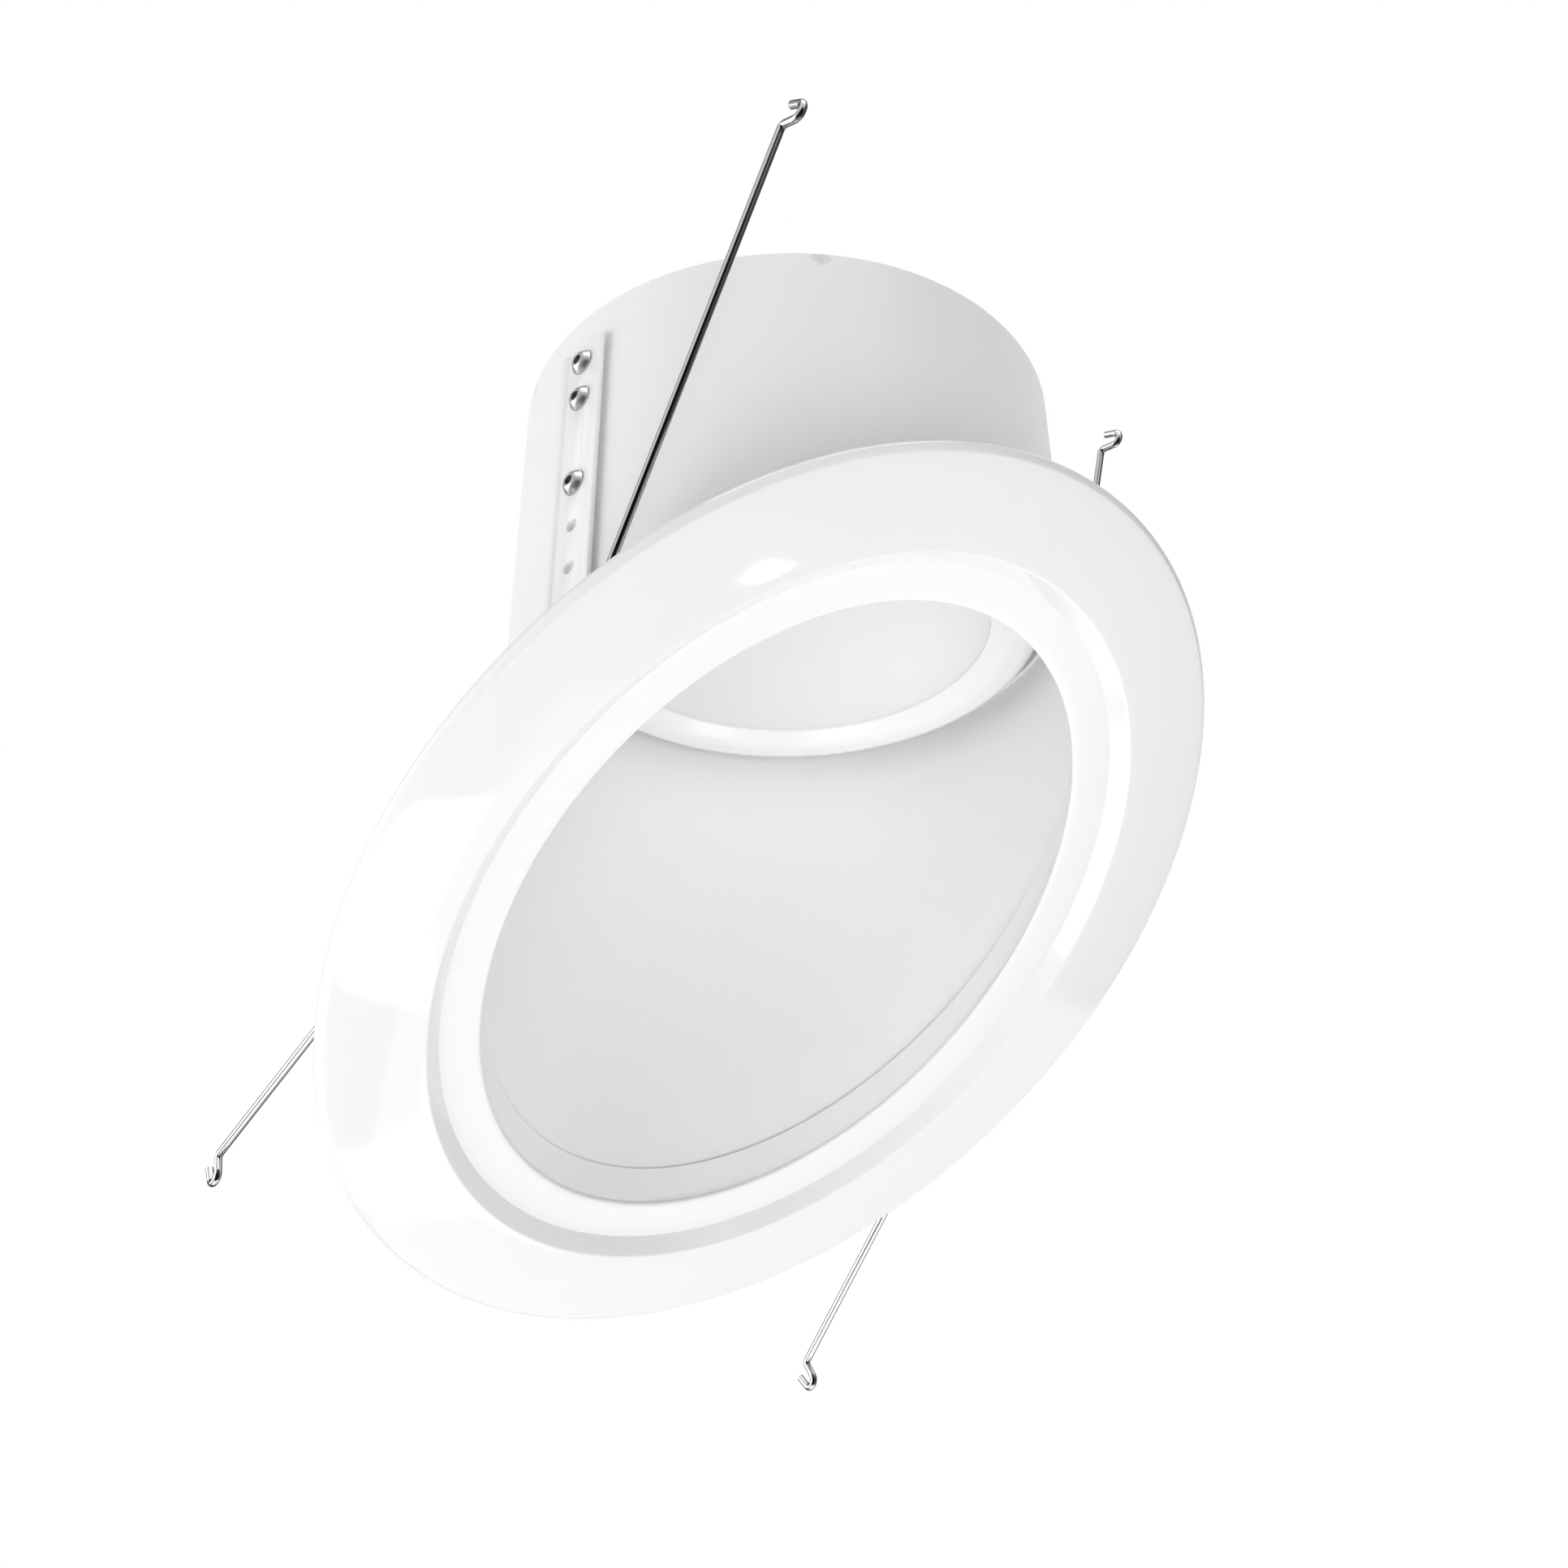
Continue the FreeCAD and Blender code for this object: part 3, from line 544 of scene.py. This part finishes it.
def buildStrap(side, sign):
    look = strapLook
    bm = bmesh.new()
    web, ramp, face = look["halfWeb"], look["ramp"], look["thick"]
    lip = face + look["rise"]
    # The underside falls back towards its edges, so that a thin dark gap shows beside the can
    section = [(0.0, -look["near"] + look["relief"]), (look["gap"], -look["near"]), (lip, -look["near"]),
               (lip, -web - ramp), (face, -web), (face, web), (lip, web + ramp), (lip, look["far"]),
               (look["gap"], look["far"]), (0.0, look["far"] - look["relief"])]
    end = bm.faces.new([bm.verts.new((look["back"] + out, across, look["foot"])) for out, across in section])
    grown = bmesh.ops.extrude_face_region(bm, geom=[end])["geom"]
    bmesh.ops.translate(bm, verts=[item for item in grown if isinstance(item, bmesh.types.BMVert)],
                        vec=(0, 0, look["top"] - look["foot"]))
    bends = [edge for edge in bm.edges if abs(edge.verts[0].co.z - edge.verts[1].co.z) > look["top"]
             and all(vert.co.x > look["back"] + look["gap"] + look["frontMargin"] for vert in edge.verts)]
    bmesh.ops.bevel(bm, geom=bends, offset=look["bend"], offset_type="OFFSET", segments=4, profile=0.5,
                    affect="EDGES", material=-1, clamp_overlap=True)
    bmesh.ops.rotate(bm, verts=bm.verts, cent=(0, 0, 0), matrix=strapTurn)
    slope = math.radians(ovalShape["slope"])
    normal = Vector((0, math.sin(slope), math.cos(slope)))
    found = bmesh.ops.bisect_plane(bm, geom=bm.verts[:] + bm.edges[:] + bm.faces[:],
                                   plane_co=normal * look["plateBack"], plane_no=-normal, clear_outer=True)
    rim = [item for item in found["geom_cut"] if isinstance(item, bmesh.types.BMEdge)]
    bmesh.ops.holes_fill(bm, edges=rim, sides=0)
    faceOutwards(bm)
    mesh = bpy.data.meshes.new("strapSheet")
    bm.to_mesh(mesh)
    bm.free()
    drill = bmesh.new()
    lieDown = Matrix.Rotation(math.pi / 2, 4, "Y")
    for height in look["holes"]:
        turn = strapTurn.to_4x4() @ Matrix.Translation((look["back"], 0, height)) @ lieDown
        bmesh.ops.create_cone(drill, cap_ends=True, segments=40, radius1=look["holeRadius"],
                              radius2=look["holeRadius"], depth=look["drillLength"], matrix=turn)
    drillMesh = bpy.data.meshes.new("drill")
    drill.to_mesh(drillMesh)
    drill.free()
    blank = bpy.data.objects.new("strapBlank", mesh)
    cutter = bpy.data.objects.new("strapDrill", drillMesh)
    for piece in (blank, cutter):
        bpy.context.scene.collection.objects.link(piece)
    drilled = hollowOut(blank, cutter)
    for piece in (blank, cutter):
        bpy.data.objects.remove(piece)
    bm = bmesh.new()
    bm.from_mesh(drilled)
    bmesh.ops.remove_doubles(bm, verts=bm.verts, dist=look["weld"])
    if sign < 0:
        bmesh.ops.scale(bm, vec=(-1, 1, 1), verts=bm.verts)
    bmesh.ops.recalc_face_normals(bm, faces=bm.faces)
    hard = [edge for edge in bm.edges if edge.calc_face_angle(0.0) > math.radians(look["edgeAngle"])]
    bmesh.ops.bevel(bm, geom=hard, offset=look["edge"], offset_type="OFFSET", segments=2, profile=0.5,
                    affect="EDGES", material=-1, clamp_overlap=True)
    finishPiece(bm, side + "StrapPressing", "strapPaint", "light", [side + "_strap"])


buildStrap("left", -1)
buildStrap("right", 1)
print("straps done")

screwLook = {
    "face": 0.06905, "headRadius": 0.0031, "headHeight": 0.0019, "rimHeight": 0.0004, "faceRadius": 0.00135,
    "socket": 0.0013, "socketDepth": 0.0012, "socketDip": 0.00006, "socketTaper": 0.93, "domeSteps": 6,
    "weld": 1e-7, "sharp": 30.0, "heights": strapLook["holes"][:3],
    "turns": (12.0, 41.0, 25.0), "shankRadius": 0.0015, "shankLength": 0.005,
}


def buildStrapScrew(side, sign, number):
    # Button head: a spun dome on its shank, and a hexagon sunk into its crown
    look = screwLook
    bm = bmesh.new()
    outline = [(0.0, -look["shankLength"]), (look["shankRadius"], -look["shankLength"]), (look["shankRadius"], 0.0),
               (look["headRadius"], 0.0), (look["headRadius"], look["rimHeight"])]
    rise = look["headHeight"] - look["rimHeight"]
    for step in range(look["domeSteps"]):
        share = (step + 1) / look["domeSteps"]
        radius = look["headRadius"] + (look["faceRadius"] - look["headRadius"]) * share
        outline.append((radius, look["rimHeight"] + rise * math.sin(share * math.pi / 2)))
    verts = [bm.verts.new((radius, 0, height)) for radius, height in outline]
    for pair in zip(verts, verts[1:]):
        bm.edges.new(pair)
    bmesh.ops.spin(bm, geom=bm.verts[:] + bm.edges[:], cent=(0, 0, 0), axis=(0, 0, 1), angle=2 * math.pi, steps=48,
                   use_merge=True)
    bmesh.ops.remove_doubles(bm, verts=bm.verts, dist=look["weld"])
    crown = [edge for edge in bm.edges if len(edge.link_faces) == 1 and all(vert.co.z > 0 for vert in edge.verts)]
    mouthPlace = Matrix.Translation((0, 0, look["headHeight"] - look["socketDip"]))
    hexRing = bmesh.ops.create_circle(bm, segments=6, radius=look["socket"], matrix=mouthPlace)["verts"]
    hexEdges = [edge for edge in bm.edges if all(vert in hexRing for vert in edge.verts)]
    bmesh.ops.subdivide_edges(bm, edges=hexEdges, cuts=7)
    hexEdges = [edge for edge in bm.edges if not edge.link_faces]
    bmesh.ops.bridge_loops(bm, edges=crown + hexEdges)
    mouth = [edge for edge in hexEdges if edge.is_valid]
    grown = bmesh.ops.extrude_edge_only(bm, edges=mouth)["geom"]
    floor = [item for item in grown if isinstance(item, bmesh.types.BMVert)]
    bmesh.ops.translate(bm, verts=floor, vec=(0, 0, -look["socketDepth"]))
    bmesh.ops.scale(bm, verts=floor, vec=(look["socketTaper"], look["socketTaper"], 1))
    bmesh.ops.holes_fill(bm, edges=[edge for edge in bm.edges if len(edge.link_faces) == 1], sides=0)
    spun = Matrix.Rotation(math.radians(look["turns"][number]), 3, "Z")
    lieDown = Matrix.Rotation(math.pi / 2, 3, "Y")
    bmesh.ops.rotate(bm, verts=bm.verts, cent=(0, 0, 0), matrix=spun)
    bmesh.ops.rotate(bm, verts=bm.verts, cent=(0, 0, 0), matrix=lieDown)
    bmesh.ops.translate(bm, verts=bm.verts, vec=(look["face"], 0, look["heights"][number]))
    bmesh.ops.rotate(bm, verts=bm.verts, cent=(0, 0, 0), matrix=strapTurn)
    if sign < 0:
        bmesh.ops.scale(bm, vec=(-1, 1, 1), verts=bm.verts)
    name = "%sButtonScrew%d" % (side, number + 1)
    finishPiece(bm, name, "screwZinc", "light", ["%s_strap_screw_%d" % (side, number + 1)],
                sharp=look["sharp"])


for side, sign in (("left", -1), ("right", 1)):
    for number in range(len(screwLook["heights"])):
        buildStrapScrew(side, sign, number)
print("screws done")

floorLook = {"drop": -1.6, "half": 4.0, "cells": 8, "tone": (0.82, 0.82, 0.82), "rough": 0.8,
             "glow": (0.5, 0.5, 0.5)}


def buildFloor():
    bm = bmesh.new()
    bmesh.ops.create_grid(bm, x_segments=floorLook["cells"], y_segments=floorLook["cells"], size=floorLook["half"])
    bmesh.ops.translate(bm, verts=bm.verts, vec=(0, 0, floorLook["drop"]))
    mesh = bpy.data.meshes.new("floor")
    bm.to_mesh(mesh)
    bm.free()
    floor = bpy.data.objects.new("floor", mesh)
    bpy.context.scene.collection.objects.link(floor)
    material, tree, shader, place = newMaterial("floorPale", floorLook["rough"])
    shader.inputs["Base Color"].default_value = (*floorLook["tone"], 1.0)
    # The lamps hardly reach the floor, so it glows a little to the camera and stays pale
    seen = addNode(tree, "ShaderNodeLightPath").outputs["Is Camera Ray"]
    black = addNode(tree, "ShaderNodeRGB")
    black.outputs[0].default_value = (0.0, 0.0, 0.0, 1.0)
    glow = mixTone(tree, seen, black.outputs[0], floorLook["glow"])
    tree.links.new(glow, shader.inputs["Emission Color"])
    shader.inputs["Emission Strength"].default_value = 1.0
    mesh.materials.append(material)


buildFloor()

skyLook = {
    "seen": 1.0, "light": 0.10, "mirror": 0.86,
    # dark sides of the studio, which only mirrors see: direction, inner and outer cosine, depth
    "cards": [((-0.57, -0.75, -0.33), 0.93, 0.85, 0.97), ((0.8, -0.6, -0.05), 0.8, 0.6, 0.9)],
}


def buildWorld():
    world = bpy.data.worlds.new("studio")
    bpy.context.scene.world = world
    world.use_nodes = True
    tree = world.node_tree
    background = tree.nodes["Background"]
    background.inputs["Color"].default_value = (1.0, 1.0, 1.0, 1.0)
    direction = addNode(tree, "ShaderNodeTexCoord").outputs["Generated"]
    mirror = skyLook["mirror"]
    for place, inner, outer, depth in skyLook["cards"]:
        facing = addNode(tree, "ShaderNodeVectorMath", operation="DOT_PRODUCT")
        facing.inputs[1].default_value = Vector(place).normalized()
        tree.links.new(direction, facing.inputs[0])
        shade = remap(tree, facing.outputs["Value"], outer, inner, 1.0, 1.0 - depth)
        mirror = maths(tree, "MULTIPLY", shade, mirror)
    path = addNode(tree, "ShaderNodeLightPath")
    glossy = maths(tree, "MAXIMUM", path.outputs["Is Glossy Ray"], path.outputs["Is Transmission Ray"])
    lit = addNode(tree, "ShaderNodeMix", data_type="FLOAT")
    lit.inputs[2].default_value = skyLook["light"]
    tree.links.new(glossy, lit.inputs[0])
    tree.links.new(mirror, lit.inputs[3])
    level = addNode(tree, "ShaderNodeMix", data_type="FLOAT")
    level.inputs[3].default_value = skyLook["seen"]
    tree.links.new(path.outputs["Is Camera Ray"], level.inputs[0])
    tree.links.new(lit.outputs[0], level.inputs[2])
    tree.links.new(level.outputs[0], background.inputs["Strength"])


buildWorld()

lamps = {
    # azimuth and elevation in degrees, watts: large square boxes in a ring about the light
    "leftSoftbox": dict(azimuth=140, elevation=0, watts=11.6),
    "topSoftbox": dict(azimuth=240, elevation=65, watts=8.2),
    "cameraSoftbox": dict(azimuth=248, elevation=-35, watts=12.4, glossy=False),
    "sideSoftbox": dict(azimuth=158, elevation=-35, watts=8.0, glossy=False),
    "underSoftbox": dict(azimuth=144, elevation=-65, watts=5.6),
    "rightSoftbox": dict(azimuth=0, elevation=0, watts=8.5, glossy=False),
    "farSoftbox": dict(azimuth=22.5, elevation=-35, watts=3.3, glossy=False),
    "frontSoftbox": dict(azimuth=320, elevation=-12, watts=3.8, glossy=False),
}
boxLook = {"distance": 1.4, "side": 1.1}
strips = {
    # boxes under the light that only show in the gloss of the flange: centre, turn, size, watts
    "firstStrip": dict(centre=(0.245, -0.113, -0.75), turn=-4.4, size=(0.5, 0.172), watts=0.62),
    "secondStrip": dict(centre=(0.308, 0.098, -0.75), turn=-33.0, size=(0.36, 0.08), watts=0.19),
    "thirdStrip": dict(centre=(0.52, -0.475, -0.75), turn=10.0, size=(0.07, 0.05), watts=0.03),
    "broadStrip": dict(centre=(1.27, 0.32, -0.75), turn=10.8, size=(2.1, 0.9), watts=3.9),
}


def addLamp(name, matrix, size, watts, diffuse=True, glossy=True):
    data = bpy.data.lights.new(name, "AREA")
    data.shape = "RECTANGLE"
    data.size, data.size_y = size
    data.energy = watts
    lamp = bpy.data.objects.new(name, data)
    lamp.matrix_world = matrix
    lamp.visible_camera = False
    lamp.visible_diffuse = diffuse
    lamp.visible_glossy = glossy
    bpy.context.scene.collection.objects.link(lamp)


for name, look in lamps.items():
    azimuth, elevation = math.radians(look["azimuth"]), math.radians(look["elevation"])
    level = math.cos(elevation)
    direction = Vector((level * math.cos(azimuth), level * math.sin(azimuth), math.sin(elevation)))
    turn = (-direction).to_track_quat("-Z", "Y").to_matrix().to_4x4()
    place = Matrix.Translation(direction * boxLook["distance"]) @ turn
    addLamp(name, place, (boxLook["side"],) * 2, look["watts"], glossy=look.get("glossy", True))
for name, look in strips.items():
    turn = Matrix.Rotation(math.radians(look["turn"]), 4, "Z") @ Matrix.Rotation(math.pi, 4, "X")
    addLamp(name, Matrix.Translation(look["centre"]) @ turn, look["size"], look["watts"], diffuse=False)

view = {
    # place in metres, and the camera's own axes in the frame
    "place": (-0.22167, -0.23552, -0.12954),
    "right": (0.75093, -0.66038, 0.00327),
    "up": (-0.32834, -0.36906, 0.86948),
    "look": (0.57297, 0.65399, 0.49397),
    "lens": 35.674, "shiftX": 0.02701, "shiftY": -0.04259, "sensor": 36.0, "near": 0.01,
}


def addCamera():
    data = bpy.data.cameras.new("camera")
    data.sensor_width = view["sensor"]
    data.lens = view["lens"]
    data.shift_x = view["shiftX"]
    data.shift_y = view["shiftY"]
    data.clip_start = view["near"]
    camera = bpy.data.objects.new("camera", data)
    turn = Matrix((view["right"], view["up"], [-part for part in view["look"]])).transposed()
    camera.matrix_world = Matrix.Translation(view["place"]) @ turn.to_4x4()
    bpy.context.scene.collection.objects.link(camera)
    bpy.context.scene.camera = camera


addCamera()
bpy.context.scene.view_settings.view_transform = "Standard"
print("stage done")
